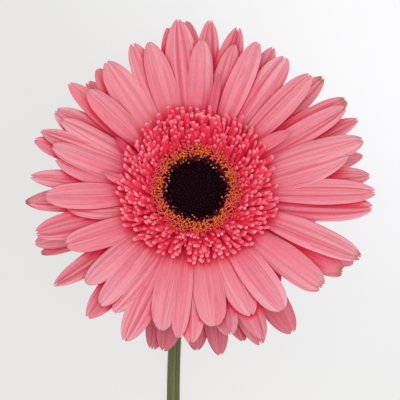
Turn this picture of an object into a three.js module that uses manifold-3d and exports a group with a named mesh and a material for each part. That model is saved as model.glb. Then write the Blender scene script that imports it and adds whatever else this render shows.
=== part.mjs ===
// Cut gerbera lying face up: one double bloom on a bare stem. Millimetres, +Z up.
// The stem lies along -Y, its neck turns up into the bloom, and the bloom leans towards +Y,
// where its lowest petals rest on the surface. The origin is on the flat underside of the
// stem, where the neck leaves the surface.
import * as THREE from "three";
import { mergeVertices } from "three/addons/utils/BufferGeometryUtils.js";
import Module from "manifold-3d";

const wasm = await Module();
wasm.setup();

const { degToRad } = THREE.MathUtils;
const UP = new THREE.Vector3(0, 0, 1);
const GAP = 0.3; // between a piece and its seat

// ---- Driving dimensions ----

const STEM = {
  lying: 270, // length along the surface, from the origin to the cut
  neckRadius: 2.3,
  cutRadius: 3.0,
  sides: 10,
  step: 15, // between rings along the surface
  cutSlant: degToRad(38), // the cut leans this far from square
};
const NECK = {
  foot: 6, // from the origin to where the bend starts
  bend: 16, // radius of the bend's centreline
  heading: degToRad(9), // of the stem at the neck, from +Y towards +X
  steps: 8,
};
const BOW = { turn: degToRad(16), over: 64 }; // the stem's slow sideways curve
const HEAD_TILT = degToRad(20); // of the bloom's axis, from straight up

const CUP = { depth: 15, foot: 3, rim: 15, column: 10, columnTop: 7, sides: 24, steps: 5 };
const BRACTS = { count: 14, halfWidth: 2.3, sunk: 0.5, proud: 0.9 };
// Each row's foot and tip, as angles round the cup from its underside to its rim.
const BRACT_ROWS = [
  { foot: 12, tip: 48 },
  { foot: 32, tip: 68 },
  { foot: 52, tip: 86 },
];

// A ring that carries florets: it seats on the one below and surrounds the receptacle's column.
const RING = { thickness: 1.2, inner: CUP.column + GAP, sides: 24 };

const RAY = {
  thickness: 0.7,
  crown: 0.9, // height of the middle above the edges, where the blade is widest
  root: 12.8, // where a blade's root is sunk in its ring
  lift: degToRad(1.7), // of a high petal above the whorl's slope, and of a low one below it
  roll: degToRad(4),
  widthSpread: 0.08,
  notch: 0.018, // share of the length that the tip's middle is cut back
  clearance: 0.5, // of a resting tip's middle line above the surface
  // Share of the length, and of the half width, at each section from root to tip.
  sections: [[0, 0.26], [0.34, 0.69], [0.66, 1], [0.86, 0.9], [0.955, 0.62], [1, 0.3]],
};
// Each petal is [azimuth, reach, lean, width]. azimuth is its tip's, in degrees anticlockwise
// from +X, reach is from the bloom's axis to the tip in millimetres, lean is how many degrees
// the tip stands on from the root, and width is a share of the whorl's. Without the last two a
// petal is straight and as wide as its whorl's. The high petals lie over the low ones beside
// them. start and end are the blade's slopes at its root and its tip.
const WHORLS = [
  {
    name: "ray_florets_outer",
    color: 0xd96f80,
    seat: GAP,
    ringOuter: 15,
    start: -3,
    end: -20,
    width: 9.2,
    seed: 11,
    low: [
      [16, 60.5], [56, 57.5], [91, 62], [111, 54], [155, 54], [181, 57], [201, 55, 0, 0.7],
      [254, 53.5], [271, 52], [288, 51.5], [306, 56.5, 0, 1.15], [334, 56.5],
    ],
    high: [
      [45, 62], [132, 54], [196, 56], [244, 54.5], [260, 53.5], [280, 54.5], [295, 55],
      [339, 58.5], [358, 58],
    ],
  },
  {
    name: "ray_florets_middle",
    color: 0xe07c8c,
    seat: GAP + 1.5,
    ringOuter: 14.6,
    start: 2,
    end: 5,
    width: 9.2,
    seed: 23,
    low: [
      [25, 61], [37, 48, 0, 0.9], [61, 57], [84, 60], [128, 53.5], [149, 54.5, 0, 1.05],
      [183, 56], [236, 48], [312, 42], [345, 42],
    ],
    high: [
      [5, 59], [32, 60], [76, 58.5], [99, 57], [139, 56, 0, 0.85], [163, 56.5, 0, 0.8],
      [174.5, 55.5, 0, 0.85], [196, 55.5], [215, 57.5, 0, 0.85], [230, 56.5], [283, 50.5],
      [294, 55], [331, 56],
    ],
  },
  {
    name: "ray_florets_inner",
    color: 0xe88a98,
    seat: GAP + 3,
    ringOuter: 14.2,
    start: 10,
    end: 5,
    width: 9.4,
    seed: 37,
    low: [
      [28, 58, 0, 0.9], [57, 55], [76, 52, 0, 0.8], [97, 59, 0, 0.9], [115.5, 54.5, 0, 0.9],
      [126, 53.5], [153, 50.5, 0, 0.7], [158, 55.5, 0, 0.8], [168, 48, -7, 0.8],
      [188, 44, -11, 0.75], [237, 50, -8, 0.9], [246, 56.5], [268, 52], [292, 46.5, 0, 1.1],
      [353, 59.5, 5],
    ],
    high: [
      [11, 52.5, 8, 0.9], [17, 58.5], [44, 55.5], [68, 54.5, 0, 0.9], [88, 51, 0, 1.05],
      [109, 52.5, 0, 0.9], [137, 49, 0, 0.85], [164, 50, -3, 0.85], [184, 50.5],
      [205, 47.5, -5, 1.05], [221, 49, 0, 0.9], [231, 51, 0, 0.95], [256, 49.5, 3, 1.1],
      [262, 51, 0, 0.75], [277, 47, 0, 1.1], [304, 50, 0, 1.05], [320.5, 54.5, 0, 1.2],
      [336, 59.5, -3], [359, 60, 0, 0.9],
    ],
  },
];

const TRANS = {
  seat: GAP + 4.5,
  ringOuter: 14.2,
  count: 24,
  radius: 1.1,
  jitter: 0.12, // of the length and of the pitch
  seed: 53,
  // Each row's root radius, slope and length, from the outermost to the innermost.
  rows: [
    { root: 13.9, slope: 23, length: 17 },
    { root: 13.8, slope: 31, length: 15.2 },
    { root: 13.7, slope: 39, length: 13.4 },
    { root: 13.6, slope: 47, length: 11.6 },
    { root: 13.5, slope: 55, length: 9.8 },
  ],
};
const DISC_FLORETS = {
  seat: GAP + 6,
  ringOuter: 12.4,
  thickness: 1,
  count: 24,
  radius: 0.7,
  jitter: 0.1,
  seed: 71,
  rows: [
    { root: 12, slope: 58, length: 4.8 },
    { root: 11.2, slope: 74, length: 4.4 },
  ],
};
const BUDS = { radius: 9.9, height: 2.8, seat: CUP.columnTop + GAP, bump: 0.28, round: 28, rings: 7 };

// ---- Shapes ----

// The same seeded draw each time, from 0 to 1.
function seededRandom(seed) {
  let state = seed;
  return () => {
    state = (state * 16807) % 2147483647;
    return state / 2147483647;
  };
}

// One closed body through rings of points, with a flat cap on the first and the last.
function loft(rings) {
  const sides = rings[0].length;
  const faces = [];
  for (let i = 0; i + 1 < rings.length; i++) {
    for (let j = 0; j < sides; j++) {
      const a = i * sides + j;
      const b = i * sides + ((j + 1) % sides);
      const c = a + sides;
      const d = b + sides;
      // The two halves of a ring mirror their diagonals, so a blade's faces split alike.
      if (j < sides / 2) faces.push(a, b, d, a, d, c);
      else faces.push(a, b, c, b, d, c);
    }
  }
  const last = (rings.length - 1) * sides;
  for (let low = 0, high = sides - 1; low + 1 < high; high--) {
    faces.push(low, high, low + 1, last + low, last + low + 1, last + high);
    low++;
    if (low + 1 < high) faces.push(low, high, high - 1, last + low, last + high - 1, last + high);
  }
  const geometry = new THREE.BufferGeometry().setFromPoints(rings.flat());
  return geometry.setIndex(faces);
}

function solidOf(geometry) {
  const bare = geometry.clone();
  bare.deleteAttribute("normal");
  bare.deleteAttribute("uv");
  const merged = mergeVertices(bare, 1e-4);
  return new wasm.Manifold(
    new wasm.Mesh({
      numProp: 3,
      vertProperties: merged.attributes.position.array,
      triVerts: new Uint32Array(merged.index.array),
    }),
  );
}

function fuse(geometries) {
  return geometries.map(solidOf).reduce((whole, piece) => whole.add(piece));
}

function meshOf(name, solid, color, roughness) {
  const { vertProperties, triVerts } = solid.getMesh();
  const geometry = new THREE.BufferGeometry();
  geometry.setAttribute("position", new THREE.BufferAttribute(vertProperties, 3));
  geometry.setIndex(new THREE.BufferAttribute(triVerts, 1));
  geometry.computeVertexNormals();
  const material = new THREE.MeshStandardMaterial({ color, roughness, metalness: 0 });
  const mesh = new THREE.Mesh(geometry, material);
  mesh.name = name;
  return mesh;
}

// A body of revolution about +Z, from a profile of [radius, height].
function turned(profile, sides) {
  const points = profile.map(([radius, height]) => new THREE.Vector2(radius, height));
  return new THREE.LatheGeometry(points, sides).rotateX(Math.PI / 2);
}

function ring(seat, outer, thickness = RING.thickness) {
  const inner = RING.inner;
  const top = seat + thickness;
  return turned([[inner, seat], [outer, seat], [outer, top], [inner, top], [inner, seat]], RING.sides);
}

// Turns (radius, side, height) at an azimuth into a point of the bloom.
function polar(azimuth, radius, side, height) {
  const [c, s] = [Math.cos(azimuth), Math.sin(azimuth)];
  return new THREE.Vector3(radius * c - side * s, radius * s + side * c, height);
}

// ---- Where the head is ----

const heading = new THREE.Vector3(Math.sin(NECK.heading), Math.cos(NECK.heading), 0);
const axis = heading.clone().multiplyScalar(Math.sin(HEAD_TILT)).addScaledVector(UP, Math.cos(HEAD_TILT));
// Height of the stem's middle line where the flat between two corners meets the surface.
const lyingHeight = (radius) => radius * Math.cos(Math.PI / STEM.sides);

function neckPoint(angle) {
  const point = heading.clone().multiplyScalar(NECK.foot + NECK.bend * Math.sin(angle));
  point.z = lyingHeight(STEM.neckRadius) + NECK.bend * (1 - Math.cos(angle));
  return point;
}

const head = new THREE.Group();
head.position.copy(neckPoint(Math.PI / 2 - HEAD_TILT)).addScaledVector(axis, GAP + CUP.depth);
head.quaternion.setFromUnitVectors(UP, axis);
head.updateMatrix();
const toHead = head.matrix.clone().invert();

// ---- Pieces ----

function stemRing(centre, direction, radius, slant = 0) {
  const side = new THREE.Vector3().crossVectors(direction, UP).normalize();
  const up = new THREE.Vector3().crossVectors(side, direction);
  return Array.from({ length: STEM.sides }, (_, i) => {
    // Half a step round puts a flat, and not a corner, underneath.
    const turn = (2 * Math.PI * (i + 0.5)) / STEM.sides - Math.PI / 2;
    const high = radius * Math.sin(turn);
    return centre
      .clone()
      .addScaledVector(side, radius * Math.cos(turn))
      .addScaledVector(up, high)
      .addScaledVector(direction, high * Math.tan(slant));
  });
}

function stem() {
  const rings = [];
  for (let i = NECK.steps; i >= 0; i--) {
    const angle = ((Math.PI / 2 - HEAD_TILT) * i) / NECK.steps;
    const direction = heading.clone().multiplyScalar(Math.cos(angle)).addScaledVector(UP, Math.sin(angle));
    rings.push(stemRing(neckPoint(angle), direction, STEM.neckRadius));
  }
  const at = new THREE.Vector3();
  const steps = Math.round(STEM.lying / STEM.step);
  for (let i = 0; i <= steps; i++) {
    const along = (STEM.lying * i) / steps;
    const turn = NECK.heading - BOW.turn * (1 - Math.exp(-along / BOW.over));
    const direction = new THREE.Vector3(Math.sin(turn), Math.cos(turn), 0);
    if (i) at.addScaledVector(direction, -STEM.lying / steps);
    const radius = STEM.neckRadius + ((STEM.cutRadius - STEM.neckRadius) * along) / STEM.lying;
    at.z = lyingHeight(radius);
    rings.push(stemRing(at, direction, radius, i === steps ? STEM.cutSlant : 0));
  }
  return meshOf("stem", solidOf(loft(rings)), 0x7c8a52, 0.6);
}

// A point of the cup's outside: angle 0 is its underside and 90 its rim.
function cupPoint(angle, out = 0) {
  const [c, s] = [Math.cos(angle), Math.sin(angle)];
  return [CUP.foot + (CUP.rim - CUP.foot + out) * s, -(CUP.depth + out) * c];
}

function bract(azimuth, foot, tip) {
  const { halfWidth, sunk, proud } = BRACTS;
  // From foot to tip: share of the way, of the half width, and of the height.
  const sections = [[0, 0.5, -0.4], [0.55, 1, 0.6], [1, 0.12, 1]];
  return loft(
    sections.map(([way, share, rise]) => {
      const angle = THREE.MathUtils.lerp(foot, tip, way);
      const [under, low] = cupPoint(angle, -sunk);
      const [over, high] = cupPoint(angle, proud * rise);
      const half = halfWidth * share;
      return [
        polar(azimuth, under, -half, low),
        polar(azimuth, over, 0, high),
        polar(azimuth, under, half, low),
      ];
    }),
  );
}

function involucre() {
  const profile = [[0, -CUP.depth]];
  for (let i = 0; i <= CUP.steps; i++) profile.push(cupPoint((Math.PI / 2) * (i / CUP.steps)));
  profile.push([CUP.column, 0], [CUP.column, CUP.columnTop], [0, CUP.columnTop]);
  const pieces = [turned(profile, CUP.sides)];
  BRACT_ROWS.forEach(({ foot, tip }, row) => {
    for (let i = 0; i < BRACTS.count; i++) {
      const azimuth = (2 * Math.PI * (i + row / 2)) / BRACTS.count;
      pieces.push(bract(azimuth, degToRad(foot), degToRad(tip)));
    }
  });
  return meshOf("involucre", fuse(pieces), 0x6f7d45, 0.7);
}

// The slope at the tip that keeps a petal's tip on or above the surface.
function restingEnd(azimuth, reach, root, rootHeight, start) {
  const flat = polar(azimuth, reach, 0, 0).applyMatrix4(head.matrix);
  const lowest = (RAY.clearance - flat.z) / axis.z;
  return 2 * Math.atan2(lowest - rootHeight, reach - root) - start;
}

function rayFloret(whorl, [azimuth, reach, lean = 0, widthShare = 1], lift, random) {
  const { root } = RAY;
  const tip = degToRad(azimuth);
  const back = degToRad(lean);
  const rootHeight = whorl.seat + RING.thickness / 2;
  const start = degToRad(whorl.start) + lift;
  const end = Math.max(degToRad(whorl.end) + lift, restingEnd(tip, reach, root, rootHeight, start));
  const halfWidth = (whorl.width / 2) * widthShare * (1 + RAY.widthSpread * (2 * random() - 1));
  const roll = RAY.roll * (2 * random() - 1);
  // The middle line is an arc whose slope goes from start to end.
  const turn = end - start;
  const bow = (reach - root) / (Math.sin(end) - Math.sin(start));
  const point = (share, across, thick) => {
    const slope = start + turn * share;
    const radius = root + bow * (Math.sin(slope) - Math.sin(start));
    const height = rootHeight - bow * (Math.cos(slope) - Math.cos(start));
    const wide = Math.abs(across.half) / halfWidth;
    const out = RAY.crown * wide * (0.5 - across.at ** 2) + thick;
    const tilt = roll * share;
    const side = across.at * across.half * Math.cos(tilt) - out * Math.sin(tilt);
    const rise = across.at * across.half * Math.sin(tilt) + out * Math.cos(tilt);
    const made = polar(
      tip - back * (1 - share),
      radius - rise * Math.sin(slope),
      side,
      height + rise * Math.cos(slope),
    );
    const placed = made.applyMatrix4(head.matrix);
    placed.z = Math.max(placed.z, 0);
    return placed.applyMatrix4(toHead);
  };
  const rings = RAY.sections.map(([share, width]) => {
    const half = halfWidth * width;
    const middle = share === 1 ? 1 - RAY.notch : share;
    const row = (thick) => [-1, 0, 1].map((at) => point(at ? share : middle, { at, half }, thick));
    return [...row(-RAY.thickness / 2), ...row(RAY.thickness / 2).reverse()];
  });
  return loft(rings);
}

function rayWhorl(whorl) {
  const random = seededRandom(whorl.seed);
  const florets = [
    ...whorl.low.map((petal) => rayFloret(whorl, petal, -RAY.lift, random)),
    ...whorl.high.map((petal) => rayFloret(whorl, petal, RAY.lift, random)),
  ];
  return meshOf(whorl.name, fuse([ring(whorl.seat, whorl.ringOuter), ...florets]), whorl.color, 0.6);
}

// A three-sided tube that leans outwards, widest near its blunt tip.
function shortFloret(azimuth, root, height, slope, length, radius) {
  const along = (share, turn, wide) => {
    const out = radius * wide * Math.cos(turn);
    const side = radius * wide * Math.sin(turn);
    const reach = length * share;
    return polar(
      azimuth,
      root + reach * Math.cos(slope) - out * Math.sin(slope),
      side,
      height + reach * Math.sin(slope) + out * Math.cos(slope),
    );
  };
  const sections = [[0, 0.5], [0.8, 1], [1, 0.6]];
  return loft(sections.map(([share, wide]) => [0, -2, 2].map((turn) => along(share, turn, wide))));
}

function shortFlorets(name, crowd, thickness, color) {
  const random = seededRandom(crowd.seed);
  const pieces = [ring(crowd.seat, crowd.ringOuter, thickness)];
  crowd.rows.forEach(({ root, slope, length }, row) => {
    for (let i = 0; i < crowd.count; i++) {
      const shift = crowd.jitter * (2 * random() - 1);
      const stretch = 1 + crowd.jitter * (2 * random() - 1);
      const azimuth = (2 * Math.PI * (i + row / 2 + shift)) / crowd.count;
      const height = crowd.seat + thickness / 2;
      pieces.push(shortFloret(azimuth, root, height, degToRad(slope), length * stretch, crowd.radius));
    }
  });
  return meshOf(name, fuse(pieces), color, 0.6);
}

// The closed buds of the middle, raised as a dome of bumps.
function discBuds() {
  const { radius, height, seat, bump, round, rings } = BUDS;
  const profile = [[0, seat], [radius, seat]];
  for (let i = 0; i <= rings; i++) {
    const r = radius * (1 - i / rings);
    profile.push([r, seat + 0.6 + (height - 0.6) * (1 - (r / radius) ** 2)]);
  }
  const geometry = turned(profile, round);
  const position = geometry.attributes.position;
  for (let i = 0; i < position.count; i++) {
    const [x, y, z] = [position.getX(i), position.getY(i), position.getZ(i)];
    const r = Math.hypot(x, y);
    if (z < seat + 0.3 || r < 0.5) continue;
    const row = Math.round((r / radius) * rings);
    const wave = Math.cos((round / 2) * Math.atan2(y, x) + Math.PI * row);
    position.setZ(i, z + bump * wave);
  }
  return meshOf("disc_buds", solidOf(geometry), 0x1c0a10, 0.6);
}

head.add(
  involucre(),
  ...WHORLS.map(rayWhorl),
  shortFlorets("trans_florets", TRANS, RING.thickness, 0xd8485f),
  shortFlorets("disc_florets", DISC_FLORETS, DISC_FLORETS.thickness, 0xc86a34),
  discBuds(),
);

const gerbera = new THREE.Group();
gerbera.add(stem(), head);

export default gerbera;
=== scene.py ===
# A cut gerbera lying face up on a pale floor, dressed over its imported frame. Lengths here are in
# millimetres until mesh_from() turns them into metres, and the head's shapes are made about the
# bloom's own axis until to_world() puts them in the row frame.
import math

import bpy
import numpy as np
from mathutils import Matrix, Vector
from mathutils.bvhtree import BVHTree


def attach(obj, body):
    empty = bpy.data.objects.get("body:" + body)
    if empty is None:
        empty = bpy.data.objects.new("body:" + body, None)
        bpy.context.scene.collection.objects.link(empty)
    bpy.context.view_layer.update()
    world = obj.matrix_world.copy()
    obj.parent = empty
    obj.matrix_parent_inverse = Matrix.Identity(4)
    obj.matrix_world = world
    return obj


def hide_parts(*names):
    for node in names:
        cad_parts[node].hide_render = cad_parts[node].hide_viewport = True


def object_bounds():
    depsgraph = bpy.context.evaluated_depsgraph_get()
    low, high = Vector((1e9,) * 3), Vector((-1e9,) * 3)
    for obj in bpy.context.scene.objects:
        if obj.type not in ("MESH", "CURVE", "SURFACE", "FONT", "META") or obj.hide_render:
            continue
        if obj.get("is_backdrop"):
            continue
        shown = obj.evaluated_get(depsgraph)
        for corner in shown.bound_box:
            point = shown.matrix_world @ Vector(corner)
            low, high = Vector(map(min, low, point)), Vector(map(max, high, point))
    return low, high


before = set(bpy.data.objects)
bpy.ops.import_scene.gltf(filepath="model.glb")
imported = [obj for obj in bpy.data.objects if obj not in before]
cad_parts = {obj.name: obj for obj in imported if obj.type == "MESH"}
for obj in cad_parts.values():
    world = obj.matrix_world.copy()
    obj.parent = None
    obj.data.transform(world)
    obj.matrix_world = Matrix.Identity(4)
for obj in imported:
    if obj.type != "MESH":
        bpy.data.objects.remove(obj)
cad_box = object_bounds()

MM = 0.001

# ---- Driving dimensions, the same as the solids' ----

STEM_LYING = 270  # along the surface, from the origin to the cut
STEM_NECK_RADIUS = 2.3
STEM_CUT_RADIUS = 3.0
STEM_SIDES = 10  # of the solid, whose flats rest on the surface
CUT_SLANT = math.radians(38)
NECK_FOOT = 6
NECK_BEND = 16
NECK_HEADING = math.radians(9)
BOW_TURN = math.radians(16)
BOW_OVER = 64
HEAD_TILT = math.radians(20)
GAP = 0.3  # between a piece and its seat

CUP_DEPTH = 15
CUP_FOOT = 3
CUP_RIM = 15
COLUMN_RADIUS = 10
COLUMN_TOP = 7

RAY_ROOT = 12.8
RAY_LIFT = math.radians(1.7)
RAY_ROLL = math.radians(4)
RAY_CROWN = 0.9
RAY_WIDTH_SPREAD = 0.08
RAY_CLEARANCE = 0.5
RING_THICKNESS = 1.2
RING_INNER = COLUMN_RADIUS + GAP

# Each petal is [azimuth, reach, lean, width, folds, worn], about the bloom's axis: its tip's
# azimuth in degrees and reach in millimetres, how many degrees the tip stands on from the root,
# its width as a share of the whorl's, how deep its folds are, and how brown its tip. The high
# petals lie over the low ones beside them. Ten petals stand up to 3.5 degrees from the solids'.
# A whorl's slope goes from start to end, in degrees. Its tone is how deep its pink is, and the
# value after it how deep the painted shade is that dulls its petals on the stem's side.
WHORLS = {
    "outer": {
        "seat": GAP, "ring": 15, "start": -3, "end": -20, "width": 9.2,
        "tone": 0.9, "dusk": 0.52, "seed": 11,
        "low": [
            [16, 60.5], [56, 57.5], [91, 62], [111, 54], [155, 54], [181, 57, 0, 1, 1, 0.8],
            [201, 55, 0, 0.7, 1, 1], [254, 53.5], [271, 52], [288, 51.5], [306, 56.5, 0, 1.15],
            [334, 56.5, 0, 1, 1, 0.6],
        ],
        "high": [
            [42.5, 62, 0, 1, 1.6, 0.9], [132, 54], [196, 56], [244, 54.5], [260, 53.5], [280, 54.5],
            [295, 55], [339, 58.5], [358, 58],
        ],
    },
    "middle": {
        "seat": GAP + 1.5, "ring": 14.6, "start": 2, "end": 5, "width": 9.2,
        "tone": 0.25, "dusk": 0.25, "seed": 23,
        "low": [
            [25, 61, 0, 1, 1.6], [37, 48, 0, 0.9], [61, 57], [84, 60, 0, 1, 2], [128, 53.5],
            [149, 54.5, 0, 1.05, 1.2], [183, 56], [236, 48], [312, 42], [345, 42],
        ],
        "high": [
            [5, 59, 0, 1, 1.4], [32, 60, 0, 1, 1, 0.8], [76, 58.5, 0, 1, 1.6], [99, 57, 0, 1, 1.4],
            [139, 56, 0, 0.85], [163, 56.5, 0, 0.8], [174.5, 55.5, 0, 0.85], [196, 55.5, 0, 1, 1.2],
            [215, 57.5, 0, 0.85, 2], [230, 56.5, 0, 1, 1.3], [283, 50.5], [294, 55, 0, 1, 1.4],
            [331, 56, 0, 1, 1, 0.8],
        ],
    },
    "inner": {
        "seat": GAP + 3, "ring": 14.2, "start": 10, "end": 5, "width": 9.4,
        "tone": -0.1, "dusk": 0, "seed": 37,
        "low": [
            [28, 58, 0, 0.9, 1.3], [57, 55], [76, 52, 0, 0.8], [95.5, 59, 0, 1.25, 1.8],
            [112, 54.5, 0, 1.05], [125.2, 53, 0, 1.25, 1.4], [153, 50.5, 0, 0.7],
            [158, 55.5, 0, 0.8, 2], [168, 48, -7, 0.8], [188, 44, -11, 0.75], [237, 50, -8, 0.9],
            [246, 56.5, 0, 1, 1.2], [268, 52], [292, 46.5, 0, 1.1, 0.5], [353, 59.5, 5, 1, 1.5],
        ],
        "high": [
            [11, 52.5, 8, 0.9, 1.4], [17, 58.5, 0, 1, 1, 0.6], [44.6, 55, 0, 1, 1.2],
            [68, 54.5, 0, 0.9, 0.5], [87, 51, 0, 0.9, 0.3], [106.3, 52.5, 0, 1.05],
            [137, 49, 0, 0.85, 0.5], [164, 50, -3, 0.85, 0.4], [184, 50.5, 0, 1, 0.4],
            [205, 47.5, -5, 1.05, 0.8], [221, 49, 0, 0.9, 0.7], [230.5, 51, 0, 0.78, 0.3],
            [256, 49.5, 3, 1.1, 0.4], [262, 51, 0, 0.75, 0.5], [277, 47, 0, 1.1, 0.5],
            [304.6, 50, 0, 1.15, 0.4], [321.8, 53.5, 0, 1.2, 0.3, 0.6], [336, 59.5, -3, 1, 0.8, 1],
            [359, 60, 0, 0.9],
        ],
    },
}

# ---- What the fine surface adds ----

# What the random draws of each kind start from.
SEEDS = {"stray": 5, "short": 53, "open": 71, "closed": 19, "opening": 29, "bracts": 43}
SEEDS |= {"stem_down": 61, "cup_down": 67}

PETAL_ROWS = 28  # points along a petal
PETAL_COLUMNS = 37  # and across it
PETAL_THICK = 0.42
PETAL_LOWEST = 0.03  # height above the surface
# Where each fold runs, from one edge of a petal at -1 to the other at 1, and its strength.
FOLDS = [(-0.38, 1), (0.36, 1), (-0.05, 0.75), (0.68, 0.45), (-0.7, 0.45)]
MAIN_FOLDS = 2  # how many of these show on a strongly folded petal in any case
NOTCHES = 3  # how many of them notch the tip
FOLD_DEPTH = 0.42
NOTCH_DEPTH = 1.1
TIP_ROUND = 0.7  # how far a tip's edges stand behind its middle
EDGE_CURL = 0.6
EDGE_RIPPLE = 0.2
TIP_SWAY = 1.1
PAINTED_SHADE_AZIMUTH = math.radians(268)  # where the painted shade on the petals is deepest, on the stem's side

# Short petals that come out among the trans florets: azimuth, reach, width, tone and lean.
STRAY_PETALS = [
    [148, 32, 2.9, 3, -5], [30, 37, 4.6, 1.5, -5], [77.5, 39.5, 3, 1.8, 0],
    [170, 31.5, 3.6, 1.4, -9],
]
STRAY_ROOT = 14
STRAY_SLOPES = (math.radians(24), math.radians(8))
STRAY_ROLL = 0.15

PETAL_SHADE_REACH = 9  # how near another piece has to be to shut a petal in, for its painted shade
SHORT_SHADE_REACH = 4  # and a short floret
CONTACT = 0.4  # nearer than this it touches, and shuts nothing in
COVER_RAYS = ((18, 3), (48, 5))  # degrees from the axis, and how many rays lean that far
COVER_START = 0.12  # of a ray above the petal

TRANS_SEAT = GAP + 4.5
TRANS_RING = 14.2
TRANS_COUNTS = [50, 52, 52, 50, 50, 48, 46, 44, 40]  # florets in each row, from the outermost in
# The outermost and the innermost row: root radius, slope, and share of the reach past the root.
TRANS_OUTER = (13.9, 24, 1)
TRANS_INNER = (13.4, 58, 0.27)
TRANS_RADIUS = 0.95
TRANS_LEAN = 0.42  # how far the florets at the sides turn towards the far side
TRANS_LOBED = 0.25  # share of the florets that are parted into lobes
# How far from the axis the outermost row reaches, by azimuth.
TRANS_REACH = [
    [0, 26.2], [20, 28], [50, 28.6], [90, 28.2], [115, 28.8], [135, 28], [150, 26.2], [180, 26.2],
    [200, 26.4], [213, 28.4], [228, 28], [245, 26.8], [262, 25.4], [285, 25.6], [310, 27.4],
    [335, 29], [350, 26.6],
]

OPEN_SEAT = GAP + 6
OPEN_RING = (9.9, 12.4, 1)  # inner and outer radius, and thickness
# Each row's root radius, slope, length and count, and the share of it that shows its anthers.
OPEN_ROWS = [
    (11.3, 74, 3.9, 40, 0.6), (12, 66, 4.2, 44, 0.6), (12.4, 55, 4.7, 46, 0.4), (12.3, 44, 5.6, 46, 0)
]
THROAT_RADIUS = 0.42
THROAT = 0.72  # the throat's share of a floret's length
MOUTH = 0.66  # where on that length the lobes grow
LOBE_HALVES = 0.25 * np.array([1, 1.05, 1, 0.85, 0.45])  # half widths from root to tip
LOBE_THICK = 0.2
ANTHER_RADIUS = 0.2
ANTHERS = 0.4  # their share of a floret's length

BUD_SEAT = COLUMN_TOP + GAP
DOME_RADIUS = 9.9
DOME_HEIGHT = 2.8
CLOSED_BUDS = 270
OPENING_BUDS = 150
OPENING_RADII = (8.7, 11.3)  # of the ring they stand in

CUP_SIDES = 64
CUP_SUNK = 0.15  # of the cup's skin below the solid's
# Each row's foot and tip, in degrees round the cup, and its half width and count.
BRACT_ROWS = [(8, 50, 2.1, 18), (26, 70, 2.3, 20), (44, 87, 2.3, 22)]
BRACT_TOP = 88  # the furthest round the cup that a tip comes
BRACT_PROUD = 0.75
BRACT_KEEL = 0.22
BRACT_THICK = 0.28

STEM_ROUND = 44  # points round the stem's skin
NECK_RINGS = 22
LYING_STEPS = 180
RIBS = ((0.035, 11, 0), (0.02, 5, 0.8))  # each set's height, count and turn
NECK_FLARE = 0.55  # how much wider the neck is at the cup
# From the pith's rim to its hollow: share of the cut's radius, and height above the cut.
PITH_PROFILE = [(0.9, -0.4), (0.9, 0.04), (0.62, 0.02), (0.34, -0.12), (0.3, -1.6), (0.01, -1.7)]
PITH_LOWEST = 0.02  # height above the surface

HAIR_RADIUS = 0.03
HAIR_SUNK = 0.12
HAIR_FOOT_LOWEST = 0.1  # height above the surface
HAIR_TIP_LOWEST = 0.06
STEM_HAIRS = 3600
CUP_HAIRS = 1500


def smooth(low, high, value):
    t = np.clip((value - low) / (high - low), 0, 1)
    return t * t * (3 - 2 * t)


def bell(value, width):
    return np.exp(-((value / width) ** 2))


def unit(vectors):
    return vectors / np.linalg.norm(vectors, axis=-1, keepdims=True)


def seeded(seed):
    """The solids' own draws, from 0 to 1."""
    state = seed
    while True:
        state = state * 16807 % 2147483647
        yield state / 2147483647


# ---- Where the head is ----

UP = Vector((0, 0, 1))
heading = Vector((math.sin(NECK_HEADING), math.cos(NECK_HEADING), 0))
axis = heading * math.sin(HEAD_TILT) + UP * math.cos(HEAD_TILT)


def lying_height(radius):
    return radius * math.cos(math.pi / STEM_SIDES)


def neck_point(angle):
    point = heading * (NECK_FOOT + NECK_BEND * math.sin(angle))
    point.z = lying_height(STEM_NECK_RADIUS) + NECK_BEND * (1 - math.cos(angle))
    return point


NECK_TURN = math.pi / 2 - HEAD_TILT
head_origin = np.array(neck_point(NECK_TURN) + axis * (GAP + CUP_DEPTH))
head_turn = np.array(UP.rotation_difference(axis).to_matrix())


def to_world(points):
    return points @ head_turn.T + head_origin


def polar(azimuth, radius, side, height):
    c, s = np.cos(azimuth), np.sin(azimuth)
    return np.stack(np.broadcast_arrays(radius * c - side * s, radius * s + side * c, height), -1)


def around(count, own, stray, row=0):
    """Azimuths round the axis that stray a little, an odd row's between an even row's."""
    for i in range(count):
        yield 2 * math.pi * (i + 0.5 * (row % 2) + own.uniform(-stray, stray)) / count


def circle(sides):
    return 2 * math.pi * np.arange(sides) / sides


# ---- Meshes ----

class Shape:
    """Points, faces and per-point values of one piece, gathered body by body."""

    def __init__(self):
        self.points = []
        self.faces = []
        self.values = {}
        self.grids = []
        self.count = 0

    def add(self, points, faces, grid=None, **values):
        """Adds a body. Values are spread over its rows of points. grid is how many rows there
        are, and how many points from the start of each are on its upper side."""
        points = np.asarray(points, float)
        for name, value in values.items():
            spread = np.broadcast_to(value, points.shape[:-1])
            self.values.setdefault(name, []).append(spread.reshape(-1))
        self.faces += [[i + self.count for i in face] for face in faces]
        self.points.append(points.reshape(-1, 3))
        self.grids.append(grid)
        self.count += len(self.points[-1])

    def add_tube(self, rings, grid=None, **values):
        """Adds a body through rings, with a polygon over each end."""
        rows, sides = rings.shape[:2]
        ends = [range(sides)[::-1], range((rows - 1) * sides, rows * sides)]
        self.add(rings, joined(rows, sides) + ends, grid, **values)


def mesh_from(shape, name):
    points = np.concatenate(shape.points) * MM
    mesh = bpy.data.meshes.new(name)
    mesh.from_pydata(points.tolist(), [], shape.faces)
    for key, parts in shape.values.items():
        layer = mesh.attributes.new(key, "FLOAT", "POINT")
        layer.data.foreach_set("value", np.concatenate(parts).astype(np.float32))
    mesh.polygons.foreach_set("use_smooth", np.ones(len(mesh.polygons), bool))
    mesh.update()
    return mesh


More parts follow.
